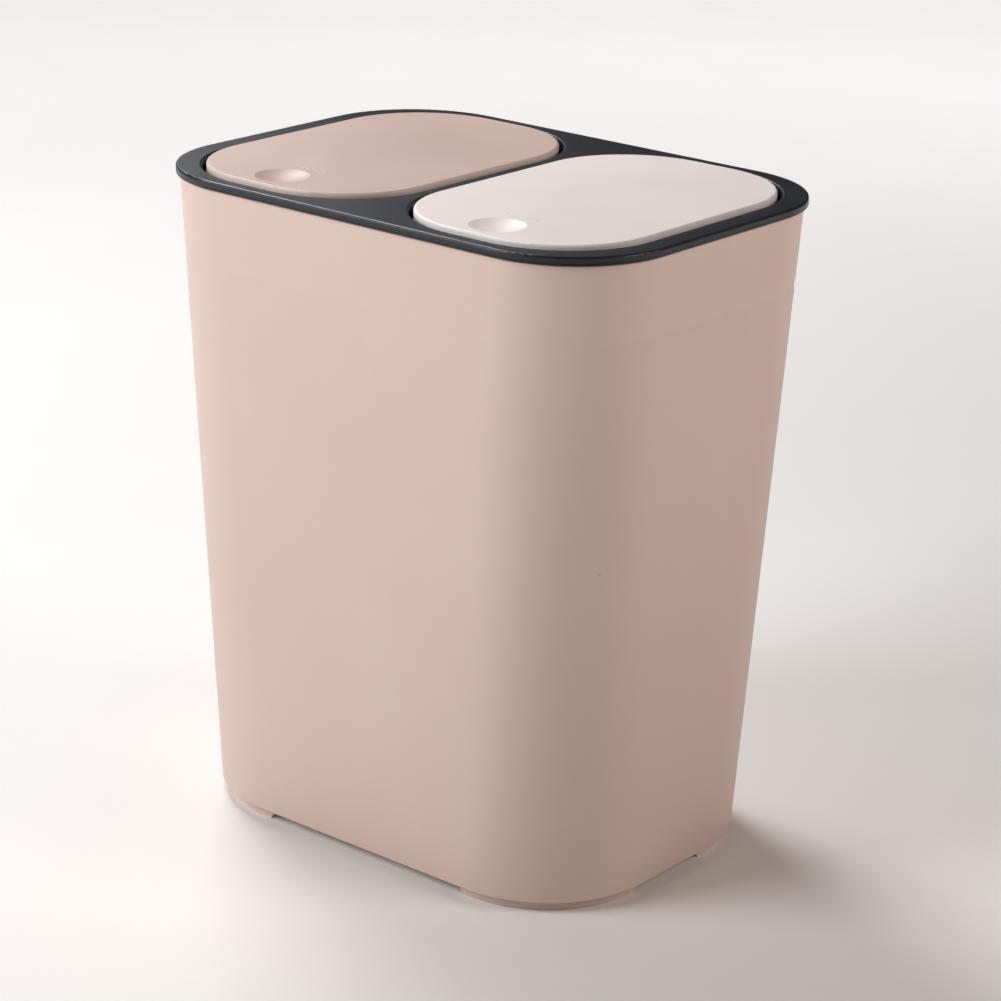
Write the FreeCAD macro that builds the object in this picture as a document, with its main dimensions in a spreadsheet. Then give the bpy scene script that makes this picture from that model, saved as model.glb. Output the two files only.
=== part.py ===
import FreeCAD, Part
import math
import os
import re
import Sketcher

# Twin-lid kitchen bin: a tapered bucket with a drop-in lid frame, two push-to-open lids,
# their hinges and push latches, and two lift-out inner buckets with bails.
# Millimetres, +Z up, the front towards -Y, the origin on the floor under the middle.

os.makedirs("parts", exist_ok=True)
doc = FreeCAD.newDocument("twin_lid_bin")

# Driving dimensions: name, value, meaning
driving = [
    ("foot_height", 6.0, "floor to the body's lower edge"),
    ("rim_height", 343.0, "floor to the bucket's rim"),
    ("rim_width", 293.2, "bucket at the rim, left to right"),
    ("rim_depth", 214.0, "bucket at the rim, front to back"),
    ("rim_corner", 56.5, "corner radius at the rim"),
    ("base_width", 270.6, "bucket at its lower edge, left to right"),
    ("base_depth", 187.6, "bucket at its lower edge, front to back"),
    ("base_corner", 64.5, "corner radius at the lower edge"),
    ("wall_upper", 2.0, "bucket wall above the ledge"),
    ("wall_lower", 3.4, "bucket wall below the ledge"),
    ("bucket_floor", 3.0, "bucket floor thickness"),
    ("ledge_drop", 40.0, "rim down to the ledge that carries the frame"),
    ("rim_round", 0.6, "rounding of the rim's edges"),
    ("base_round", 1.2, "rounding of the lower edge"),
    ("foot_inset", 5.0, "feet set in from the lower edge"),
    ("foot_band", 6.5, "width of a foot's band"),
    ("foot_front_reach", 72.0, "a foot's reach along the front and back, from the bucket's side"),
    ("foot_side_reach", 70.0, "a foot's reach along the sides, from the bucket's front or back"),
    ("foot_slope", 4.0, "slope of a foot's ends"),
    ("frame_overhang", 2.2, "frame flange past the rim"),
    ("frame_shadow_gap", 1.0, "rim up to the flange"),
    ("flange_height", 4.0, "height of the flange's side"),
    ("flange_round", 1.3, "rounding of the flange's top edge"),
    ("plate_thickness", 2.5, "frame's top plate"),
    ("skirt_clearance", 0.4, "skirt to the bucket's wall"),
    ("skirt_wall", 2.0, "frame's skirt"),
    ("collar_wall", 2.0, "collar round a lid opening"),
    ("collar_depth", 12.0, "collar's depth under the frame's top"),
    ("opening_round", 1.2, "rounding of an opening's top edge"),
    ("lid_width", 128.0, "lid, left to right"),
    ("lid_margin", 8.8, "rim's front or back edge to the lid's"),
    ("lid_corner", 52.3, "lid's corner radius"),
    ("lid_spacing", 140.0, "lid centre to lid centre"),
    ("lid_gap", 2.6, "gap round a lid"),
    ("lid_proud", 1.6, "lid above the frame's top"),
    ("lid_edge_height", 6.0, "height of a lid's edge"),
    ("lid_skin", 1.5, "lid's top skin"),
    ("lid_wall", 1.8, "lid's edge wall"),
    ("lid_round", 1.5, "rounding of a lid's top edge"),
    ("dimple_diameter", 28.0, "thumb dimple"),
    ("dimple_depth", 3.2, "depth of the thumb dimple"),
    ("dimple_skin", 1.6, "material under the dimple"),
    ("dimple_setback", 20.0, "lid's front edge to the dimple's centre"),
    ("dimple_round", 0.7, "rounding of the dimple's rim"),
    ("hinge_setback", 12.0, "lid's back edge to the hinge axis"),
    ("hinge_drop", 3.7, "lid's top down to the hinge axis"),
    ("pin_diameter", 2.0, "hinge pin"),
    ("pin_running", 0.05, "radial clearance of the pin in a knuckle"),
    ("pin_seat", 0.02, "radial clearance of the pin in an ear"),
    ("pin_overhang", 0.8, "pin past an ear"),
    ("pin_chamfer", 0.3, "chamfer of the pin's ends"),
    ("knuckle_offset", 24.0, "lid's middle to a knuckle's middle"),
    ("knuckle_width", 4.0, "knuckle along the pin"),
    ("knuckle_radius", 2.0, "knuckle round the pin"),
    ("ear_gap", 0.5, "knuckle to ear along the pin"),
    ("ear_width", 3.0, "ear along the pin"),
    ("ear_radius", 1.9, "ear round the pin"),
    ("stem_lean", 2.6, "an ear's stem, back face forward of the axis"),
    ("stem_depth", 5.5, "an ear's stem, front to back"),
    ("stem_knee", 6.5, "axis down to the stem's upright part"),
    ("hinge_shelf_drop", 14.5, "axis down to the hinge shelf"),
    ("hinge_shelf_front", 14.0, "axis to the hinge shelf's front edge"),
    ("hinge_shelf_side", 4.0, "hinge shelf past an ear"),
    ("shelf_thickness", 3.0, "hinge shelf and latch shelf"),
    ("spring_stop_width", 6.0, "rib under the lid spring's lower leg, left to right"),
    ("spring_stop_depth", 2.0, "rib under the lid spring's lower leg, front to back"),
    ("lid_spring_wire", 0.7, "wire of the lid spring"),
    ("lid_spring_coil", 3.2, "mean diameter of the lid spring"),
    ("lid_spring_pitch", 1.2, "pitch of the lid spring"),
    ("lid_spring_leg", 12.0, "legs of the lid spring"),
    ("spring_seat_gap", 0.3, "spring to what it bears on"),
    ("press_travel", 3.0, "travel of a lid's press at the strike"),
    ("press_margin", 0.4, "room left under the press"),
    ("strike_base_width", 16.0, "strike's base, left to right"),
    ("strike_base_depth", 10.0, "strike's base, front to back"),
    ("strike_base_height", 2.0, "strike's base, thickness"),
    ("strike_stem_width", 3.0, "strike's stem"),
    ("strike_head_width", 6.0, "strike's head, left to right"),
    ("strike_head_height", 2.0, "strike's head, thickness"),
    ("strike_depth", 6.0, "strike's stem and head, front to back"),
    ("jaw_height", 8.0, "plunger's jaws above its block"),
    ("jaw_thickness", 2.0, "plunger's jaw"),
    ("jaw_hook", 0.8, "hook at the top of a jaw"),
    ("jaw_hook_height", 2.0, "height of a jaw's hook"),
    ("jaw_rise", 1.5, "jaws above the housing"),
    ("jaw_passage", 0.4, "strike's head to a hook"),
    ("plunger_depth", 9.4, "plunger, front to back"),
    ("plunger_block", 6.0, "height of the plunger's block"),
    ("plunger_clearance", 0.3, "plunger to the housing"),
    ("peg_diameter", 4.6, "pegs that centre the latch spring"),
    ("peg_length", 3.0, "length of these pegs"),
    ("housing_wall", 3.0, "wall of the latch housing"),
    ("housing_floor", 2.0, "floor of the latch housing"),
    ("latch_spring_room", 10.5, "housing floor up to the plunger"),
    ("latch_spring_wire", 0.6, "wire of the latch spring"),
    ("latch_spring_coil", 6.4, "mean diameter of the latch spring"),
    ("lug_length", 9.0, "housing lug, outwards"),
    ("lug_thickness", 3.0, "housing lug"),
    ("lug_drop", 9.7, "housing's top down to the lug's underside"),
    ("window_clearance", 0.3, "housing to the window in the latch shelf"),
    ("latch_shelf_side", 3.0, "latch shelf past the lugs"),
    ("latch_shelf_lip", 4.0, "latch shelf past the housing, inwards"),
    ("screw_diameter", 2.9, "latch screw"),
    ("screw_length", 9.0, "latch screw under its head"),
    ("screw_tip", 2.0, "cone at the screw's tip"),
    ("screw_point", 0.7, "flat end of this cone"),
    ("screw_head_diameter", 5.6, "latch screw's head"),
    ("screw_head_height", 2.0, "latch screw's head"),
    ("screw_clearance", 0.2, "radial clearance of the screw in a lug"),
    ("recess_width", 0.9, "cross recess, width of an arm"),
    ("recess_length", 3.2, "cross recess, tip to tip"),
    ("recess_depth", 1.1, "cross recess, depth"),
    ("boss_diameter", 6.5, "screw boss under the latch shelf"),
    ("boss_length", 8.0, "screw boss under the latch shelf"),
    ("rib_thickness", 2.0, "ribs under the latch shelf"),
    ("rib_drop", 14.0, "depth of a rib at the skirt"),
    ("inner_rim_drop", 36.0, "bin's rim down to an inner bucket's rim"),
    ("inner_clearance", 1.5, "inner bucket's rim to the skirt"),
    ("inner_base_clearance", 2.5, "inner bucket's base to the bin's wall"),
    ("inner_split", 2.0, "gap between the inner buckets"),
    ("inner_wall", 1.8, "inner bucket's wall"),
    ("inner_floor", 2.0, "inner bucket's floor"),
    ("inner_flange", 5.0, "width of the inner bucket's rim flange"),
    ("inner_flange_thickness", 2.2, "thickness of the rim flange"),
    ("inner_lip", 1.6, "thickness of the flange's turned-down lip"),
    ("inner_lip_drop", 5.0, "depth of the turned-down lip"),
    ("inner_base_round", 2.5, "rounding of the inner bucket's lower edge"),
    ("bail_wire", 3.5, "wire of the bail"),
    ("bail_lift", 0.3, "bail above the flange"),
    ("bail_bend", 3.5, "bend of the bail into its ear"),
    ("bail_corner", 45.0, "corner radius of the bail"),
    ("bail_running", 0.08, "radial clearance of the bail in its ear"),
    ("bail_ear_thickness", 3.0, "bail ear"),
    ("bail_ear_radius", 4.2, "bail ear round the wire"),
    ("bail_ear_inset", 0.4, "bail ear in from the flange's edge"),
    ("bail_ear_play", 0.6, "bail ear to the bail's bend"),
]
lid_spring_quarters = 26
latch_spring_turns = 6
level_closeness_share = 1e-4
sides = (("left", "-1"), ("right", "1"))
ends = (("Outer", "1"), ("Inner", "-1"))

sheet = doc.addObject("Spreadsheet::Sheet", "Sizes")
for row, (alias, size, meaning) in enumerate(driving, start=1):
    sheet.set("A%d" % row, alias)
    sheet.set("B%d" % row, str(size))
    sheet.set("C%d" % row, meaning)
    sheet.setAlias("B%d" % row, alias)
doc.recompute()
aliases = set(alias for alias, size, meaning in driving)

# Levels and places that several pieces share, in words of the sheet
ledge_level = "(rim_height - ledge_drop)"
flange_level = "(rim_height + frame_shadow_gap)"
frame_top = "(rim_height + frame_shadow_gap + flange_height)"
lid_top = "(%s + lid_proud)" % frame_top
lid_bottom = "(%s - lid_edge_height)" % lid_top
lid_depth = "(rim_depth - 2 * lid_margin)"
hinge_along = "(%s / 2 - hinge_setback)" % lid_depth
hinge_level = "(%s - hinge_drop)" % lid_top
hinge_shelf_level = "(%s - hinge_shelf_drop)" % hinge_level
ear_offset = "(knuckle_offset + knuckle_width / 2 + ear_gap + ear_width / 2)"
latch_along = "(dimple_setback - %s / 2)" % lid_depth
strike_level = "(%s - dimple_depth - dimple_skin)" % lid_top
jaw_level = "(%s - strike_base_height - press_travel - press_margin)" % strike_level
block_level = "(%s - jaw_height)" % jaw_level
plunger_level = "(%s - plunger_block)" % block_level
head_level = "(%s + press_travel + press_margin)" % block_level
housing_top = "(%s - jaw_rise)" % jaw_level
cavity_level = "(%s - latch_spring_room)" % plunger_level
housing_level = "(%s - housing_floor)" % cavity_level
shelf_level = "(%s - lug_drop)" % housing_top
plunger_width = "(strike_head_width + 2 * (jaw_passage + jaw_hook + jaw_thickness))"
cavity_width = "(%s + 2 * plunger_clearance)" % plunger_width
cavity_depth = "(plunger_depth + 2 * plunger_clearance)"
housing_width = "(%s + 2 * housing_wall)" % cavity_width
housing_depth = "(%s + 2 * housing_wall)" % cavity_depth
screw_offset = "(%s / 2 + lug_length / 2)" % housing_width
inner_rim_level = "(rim_height - inner_rim_drop)"
inner_base_level = "(foot_height + bucket_floor)"
bail_level = "(%s + bail_lift + bail_wire / 2)" % inner_rim_level
lid_spring_half = "(lid_spring_pitch * %d / 8)" % lid_spring_quarters


def sized(words):
    return re.sub(r"[a-z_]+", lambda found: ("Sizes." if found[0] in aliases else "") + found[0], words)


def number(words):
    found = sheet.evalExpression(sized(words))
    return float(getattr(found, "Value", found))


def bucket_at(measure, level):
    grown = "(rim_%s - base_%s) / (rim_height - foot_height)" % (measure, measure)
    return "(base_%s + %s * (%s - foot_height))" % (measure, grown, level)


def bucket_outline(level, inset):
    width = "%s - 2 * (%s)" % (bucket_at("width", level), inset)
    depth = "%s - 2 * (%s)" % (bucket_at("depth", level), inset)
    corner = "%s - (%s)" % (bucket_at("corner", level), inset)
    return width, depth, corner


def lid_outline(inset):
    depth = "%s - 2 * (%s)" % (lid_depth, inset)
    return "lid_width - 2 * (%s)" % inset, depth, "lid_corner - (%s)" % inset


def new_body(name):
    body = doc.addObject("PartDesign::Body", name)
    body.Label = name
    return body


def new_sketch(body, name, role="XY_Plane", across="0", along="0", level="0"):
    sketch = body.newObject("Sketcher::SketchObject", name)
    plane = next(plane for plane in body.Origin.OriginFeatures if plane.Role == role)
    sketch.AttachmentSupport = [(plane, "")]
    sketch.MapMode = "FlatFace"
    offsets = {
        "XY_Plane": (across, along, level),
        "XZ_Plane": (across, level, "-1 * (%s)" % along),
        "YZ_Plane": (along, level, across),
    }
    for axis, words in zip("xyz", offsets[role]):
        sketch.setExpression("AttachmentOffset.Base." + axis, sized(words))
    return sketch


def bound(sketch, *constraint):
    words = constraint[-1]
    index = sketch.addConstraint(Sketcher.Constraint(*constraint[:-1], number(words)))
    sketch.setExpression("Constraints[%d]" % index, sized(words))


def placed(sketch, geometry, end, across, along):
    for kind, axis, words in (("DistanceX", -2, across), ("DistanceY", -1, along)):
        if words == "0":
            sketch.addConstraint(Sketcher.Constraint("PointOnObject", geometry, end, axis))
        else:
            bound(sketch, kind, -1, 1, geometry, end, words)


def joined(sketch, kind, first, last):
    for index in range(first, last):
        sketch.addConstraint(Sketcher.Constraint(kind, index, 2, index + 1, 1))


def arc(centre, radius, start, end):
    circle = Part.Circle(FreeCAD.Vector(*centre, 0), FreeCAD.Vector(0, 0, 1), radius)
    return Part.ArcOfCircle(circle, math.radians(start), math.radians(end))


def line(start, end):
    return Part.LineSegment(FreeCAD.Vector(*start, 0), FreeCAD.Vector(*end, 0))


def rounded(sketch, width, depth, corner):
    half = number("(%s) / 2" % width)
    deep = number("(%s) / 2" % depth)
    radius = number(corner)
    first = sketch.GeometryCount
    sketch.addGeometry([
        line((radius - half, -deep), (half - radius, -deep)),
        arc((half - radius, radius - deep), radius, 270, 360),
        line((half, radius - deep), (half, deep - radius)),
        arc((half - radius, deep - radius), radius, 0, 90),
        line((half - radius, deep), (radius - half, deep)),
        arc((radius - half, deep - radius), radius, 90, 180),
        line((-half, deep - radius), (-half, radius - deep)),
        arc((radius - half, radius - deep), radius, 180, 270),
    ])
    joined(sketch, "Tangent", first, first + 7)
    sketch.addConstraint(Sketcher.Constraint("Tangent", first + 7, 2, first, 1))
    for side in (0, 4):
        sketch.addConstraint(Sketcher.Constraint("Horizontal", first + side))
        sketch.addConstraint(Sketcher.Constraint("Vertical", first + side + 2))
    for turn in (3, 5, 7):
        sketch.addConstraint(Sketcher.Constraint("Equal", first + 1, first + turn))
    bound(sketch, "Radius", first + 1, corner)
    bound(sketch, "DistanceX", -1, 1, first + 2, 1, "(%s) / 2" % width)
    bound(sketch, "DistanceX", first + 6, 1, -1, 1, "(%s) / 2" % width)
    bound(sketch, "DistanceY", -1, 1, first + 4, 1, "(%s) / 2" % depth)
    bound(sketch, "DistanceY", first, 1, -1, 1, "(%s) / 2" % depth)


def polygon(sketch, points):
    corners = [(number(across), number(along)) for across, along in points]
    first = sketch.GeometryCount
    last = first + len(points) - 1
    sketch.addGeometry([line(start, end) for start, end in zip(corners, corners[1:] + corners[:1])])
    joined(sketch, "Coincident", first, last)
    sketch.addConstraint(Sketcher.Constraint("Coincident", last, 2, first, 1))
    for index, (across, along) in enumerate(points):
        placed(sketch, first + index, 1, across, along)


def rectangle(sketch, left, right, low, high):
    polygon(sketch, [(left, low), (right, low), (right, high), (left, high)])


def centred(sketch, width, depth):
    rectangle(sketch, "-1 * %s / 2" % width, "%s / 2" % width, "-1 * %s / 2" % depth, "%s / 2" % depth)


def circle(sketch, diameter, across="0", along="0"):
    centre = FreeCAD.Vector(number(across), number(along), 0)
    index = sketch.addGeometry(Part.Circle(centre, FreeCAD.Vector(0, 0, 1), number("(%s) / 2" % diameter)))
    bound(sketch, "Diameter", index, diameter)
    placed(sketch, index, 3, across, along)


def loft(body, kind, name, low, high):
    feature = body.newObject(kind, name)
    feature.Profile = low
    feature.Sections = [high]
    feature.Ruled = True
    doc.recompute()
    return feature


def pad(body, sketch, name, length, downwards=False):
    feature = body.newObject("PartDesign::Pad", name)
    feature.Profile = sketch
    feature.Reversed = downwards
    feature.setExpression("Length", sized(length))
    doc.recompute()
    return feature


def pocket(body, sketch, name, length, upwards=False):
    before = body.Shape.Volume
    feature = body.newObject("PartDesign::Pocket", name)
    feature.Profile = sketch
    feature.Reversed = upwards
    feature.setExpression("Length", sized(length))
    doc.recompute()
    if not body.Shape.Volume < before:
        raise RuntimeError("%s cuts nothing from %s" % (name, body.Label))
    return feature


def flat_edges(shape, level, test=lambda box: True):
    height = number(level)
    names = []
    for index, edge in enumerate(shape.Edges, start=1):
        box = edge.BoundBox
        close = level_closeness_share * box.DiagonalLength
        if abs(box.ZMin - height) < close and abs(box.ZMax - height) < close and test(box):
            names.append("Edge%d" % index)
    return names


def dress(body, kind, name, size, edges):
    base = body.Tip
    feature = body.newObject(kind, name)
    feature.Base = (base, edges)
    feature.setExpression("Size" if kind.endswith("Chamfer") else "Radius", sized(size))
    doc.recompute()
    return feature


# Outer bucket: tapered shell with a ledge inside and four corner feet
bucket = new_body("outer_bucket")
low = new_sketch(bucket, "BucketLow", level="foot_height")
rounded(low, "base_width", "base_depth", "base_corner")
high = new_sketch(bucket, "BucketHigh", level="rim_height")
rounded(high, "rim_width", "rim_depth", "rim_corner")
loft(bucket, "PartDesign::AdditiveLoft", "BucketOutside", low, high)
low = new_sketch(bucket, "CavityLow", level=inner_base_level)
rounded(low, *bucket_outline(inner_base_level, "wall_lower"))
high = new_sketch(bucket, "CavityHigh", level=ledge_level)
rounded(high, *bucket_outline(ledge_level, "wall_lower"))
loft(bucket, "PartDesign::SubtractiveLoft", "BucketCavity", low, high)
low = new_sketch(bucket, "MouthLow", level=ledge_level)
rounded(low, *bucket_outline(ledge_level, "wall_upper"))
high = new_sketch(bucket, "MouthHigh", level="rim_height")
rounded(high, *bucket_outline("rim_height", "wall_upper"))
loft(bucket, "PartDesign::SubtractiveLoft", "BucketMouth", low, high)
lower_edges = flat_edges(bucket.Shape, "foot_height")
dress(bucket, "PartDesign::Fillet", "BucketLowerEdge", "base_round", lower_edges)
rim_edges = flat_edges(bucket.Shape, "rim_height")
dress(bucket, "PartDesign::Fillet", "BucketRim", "rim_round", rim_edges)
ring = new_sketch(bucket, "FootRing", level="foot_height")
rounded(ring, *bucket_outline("foot_height", "foot_inset"))
rounded(ring, *bucket_outline("foot_height", "foot_inset + foot_band"))
pad(bucket, ring, "Feet", "foot_height", downwards=True)
gap_start = "(base_%s / 2 - foot_inset / 2)"
gap_run = "(base_%s - foot_inset)"
for name, role, span, reach, start, run in (
    ("Front", "XZ_Plane", "width", "foot_front_reach", {"along": gap_start % "depth"}, "depth"),
    ("Side", "YZ_Plane", "depth", "foot_side_reach", {"across": "-1 * " + gap_start % "width"}, "width"),
):
    gap_top = "(base_%s / 2 - %s)" % (span, reach)
    gap = new_sketch(bucket, name + "FootGap", role, **start)
    polygon(gap, [
        ("-1 * (%s + foot_slope)" % gap_top, "0"),
        ("%s + foot_slope" % gap_top, "0"),
        (gap_top, "foot_height"),
        ("-1 * " + gap_top, "foot_height"),
    ])
    pocket(bucket, gap, name + "FeetApart", gap_run % run, upwards=True)

# Lid frame: flange, plate and skirt with two openings, hinge shelves and latch shelves
frame = new_body("lid_frame")
flange = new_sketch(frame, "FlangeOutline", level=flange_level)
rounded(flange, *bucket_outline("rim_height", "0 - frame_overhang"))
pad(frame, flange, "Flange", "flange_height")
dress(frame, "PartDesign::Fillet", "FlangeTopEdge", "flange_round", flat_edges(frame.Shape, frame_top))
low = new_sketch(frame, "SkirtLow", level=ledge_level)
rounded(low, *bucket_outline(ledge_level, "wall_upper + skirt_clearance"))
high = new_sketch(frame, "SkirtHigh", level=flange_level)
rounded(high, *bucket_outline(flange_level, "wall_upper + skirt_clearance"))
loft(frame, "PartDesign::AdditiveLoft", "SkirtOutside", low, high)
plate_under = "(%s - plate_thickness)" % frame_top
skirt_inset = "wall_upper + skirt_clearance + skirt_wall"
low = new_sketch(frame, "HollowLow", level=ledge_level)
rounded(low, *bucket_outline(ledge_level, skirt_inset))
high = new_sketch(frame, "HollowHigh", level=plate_under)
rounded(high, *bucket_outline(plate_under, skirt_inset))
loft(frame, "PartDesign::SubtractiveLoft", "FrameHollow", low, high)
middle_inset = "wall_upper + skirt_clearance + skirt_wall / 2"
skirt_middle = "(%s / 2 - wall_upper - skirt_clearance - skirt_wall / 2)"
for side, sign in sides:
    centre = "%s * lid_spacing / 2" % sign
    label = side.capitalize()
    collar_level = "%s - collar_depth" % frame_top
    collar = new_sketch(frame, label + "CollarOutline", across=centre, level=collar_level)
    rounded(collar, *lid_outline("0 - lid_gap - collar_wall"))
    pad(frame, collar, label + "Collar", "collar_depth - plate_thickness / 2")
    opening = new_sketch(frame, label + "Opening", across=centre, level=frame_top)
    rounded(opening, *lid_outline("0 - lid_gap"))
    pocket(frame, opening, label + "LidOpening", "collar_depth")
    shelf_half = "(%s + ear_width / 2 + hinge_shelf_side)" % ear_offset
    shelf = new_sketch(frame, label + "HingeShelfOutline", across=centre, level=hinge_shelf_level)
    shelf_front = "%s - hinge_shelf_front" % hinge_along
    shelf_back = skirt_middle % bucket_at("depth", hinge_shelf_level)
    middle_width, middle_depth, middle_corner = bucket_outline(hinge_shelf_level, middle_inset)
    bend_across = "((%s) / 2 - (%s) - lid_spacing / 2)" % (middle_width, middle_corner)
    bend_along = "((%s) / 2 - (%s))" % (middle_depth, middle_corner)
    shelf_corner = "%s + sqrt((%s)^2 - (%s - %s)^2)" % (bend_along, middle_corner, shelf_half, bend_across)
    polygon(shelf, [
        ("-1 * %s * %s" % (sign, shelf_half), shelf_front),
        ("%s * %s" % (sign, shelf_half), shelf_front),
        ("%s * %s" % (sign, shelf_half), shelf_corner),
        ("%s * %s" % (sign, bend_across), shelf_back),
        ("-1 * %s * %s" % (sign, shelf_half), shelf_back),
    ])
    pad(frame, shelf, label + "HingeShelf", "shelf_thickness", downwards=True)
    stop_middle = "%s + %s" % (centre, lid_spring_half)
    stop_front = "%s - lid_spring_leg" % hinge_along
    place = {"across": stop_middle, "along": stop_front, "level": hinge_shelf_level}
    stop = new_sketch(frame, label + "SpringStopOutline", **place)
    rectangle(stop, "-1 * spring_stop_width / 2", "spring_stop_width / 2", "0", "spring_stop_depth")
    stop_height = "hinge_shelf_drop - lid_spring_coil / 2 - lid_spring_wire / 2 - spring_seat_gap"
    pad(frame, stop, label + "SpringStop", stop_height)
    for end, outwards in ends:
        ear_start = "%s + %s * %s - ear_width / 2" % (centre, outwards, ear_offset)
        start = {"across": ear_start, "along": hinge_along, "level": hinge_level}
        stem = new_sketch(frame, label + end + "StemOutline", "YZ_Plane", **start)
        stem_foot = "-1 * (hinge_shelf_drop + shelf_thickness / 2)"
        polygon(stem, [
            ("ear_radius / 2", "0"),
            ("-1 * ear_radius", "0"),
            ("-1 * (stem_lean + stem_depth)", "-1 * stem_knee"),
            ("-1 * (stem_lean + stem_depth)", stem_foot),
            ("-1 * stem_lean", stem_foot),
            ("-1 * stem_lean", "-1 * stem_knee"),
        ])
        pad(frame, stem, label + end + "Stem", "ear_width")
        eye = new_sketch(frame, label + end + "EyeOutline", "YZ_Plane", **start)
        circle(eye, "2 * ear_radius")
        pad(frame, eye, label + end + "Eye", "ear_width")
        hole = new_sketch(frame, label + end + "EyeHoleOutline", "YZ_Plane", **start)
        circle(hole, "pin_diameter + 2 * pin_seat")
        pocket(frame, hole, label + end + "EyeHole", "ear_width", upwards=True)
    shelf_half = "(%s / 2 + lug_length + latch_shelf_side)" % housing_width
    shelf_front = "-1 * " + skirt_middle % bucket_at("depth", shelf_level)
    shelf_back = "(%s + %s / 2 + latch_shelf_lip)" % (latch_along, housing_depth)
    shelf = new_sketch(frame, label + "LatchShelfOutline", across=centre, level=shelf_level)
    rectangle(shelf, "-1 * " + shelf_half, shelf_half, shelf_front, shelf_back)
    pad(frame, shelf, label + "LatchShelf", "shelf_thickness", downwards=True)
    rib_level = "(%s - shelf_thickness)" % shelf_level
    rib_low = "(%s - rib_drop)" % rib_level
    for end, outwards in ends:
        rib_middle = "%s + %s * (%s - rib_thickness / 2)" % (centre, outwards, shelf_half)
        rib_start = "%s - rib_thickness / 2" % rib_middle
        rib = new_sketch(frame, label + end + "RibOutline", "YZ_Plane", across=rib_start)
        polygon(rib, [
            ("-1 * " + skirt_middle % bucket_at("depth", rib_low), rib_low),
            (shelf_back, rib_level),
            (shelf_back, "%s + shelf_thickness / 2" % rib_level),
            (shelf_front, "%s + shelf_thickness / 2" % rib_level),
        ])
        pad(frame, rib, label + end + "Rib", "rib_thickness")
    place = {"across": centre, "along": latch_along, "level": shelf_level}
    window = new_sketch(frame, label + "WindowOutline", **place)
    window_width = "(%s + 2 * window_clearance)" % housing_width
    window_depth = "(%s + 2 * window_clearance)" % housing_depth
    centred(window, window_width, window_depth)
    pocket(frame, window, label + "Window", "shelf_thickness")
    bosses = new_sketch(frame, label + "BossOutlines", **place)
    pilots = new_sketch(frame, label + "PilotOutlines", **place)
    for end, outwards in ends:
        circle(bosses, "boss_diameter", "%s * %s" % (outwards, screw_offset))
        circle(pilots, "screw_diameter", "%s * %s" % (outwards, screw_offset))
    pad(frame, bosses, label + "Bosses", "boss_length", downwards=True)
    pocket(frame, pilots, label + "Pilots", "boss_length")
opening_reach = number("%s / 2 + lid_gap + opening_round" % lid_depth)
opening_edges = flat_edges(frame.Shape, frame_top, lambda box: max(-box.YMin, box.YMax) < opening_reach)
dress(frame, "PartDesign::Fillet", "OpeningEdges", "opening_round", opening_edges)

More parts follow.
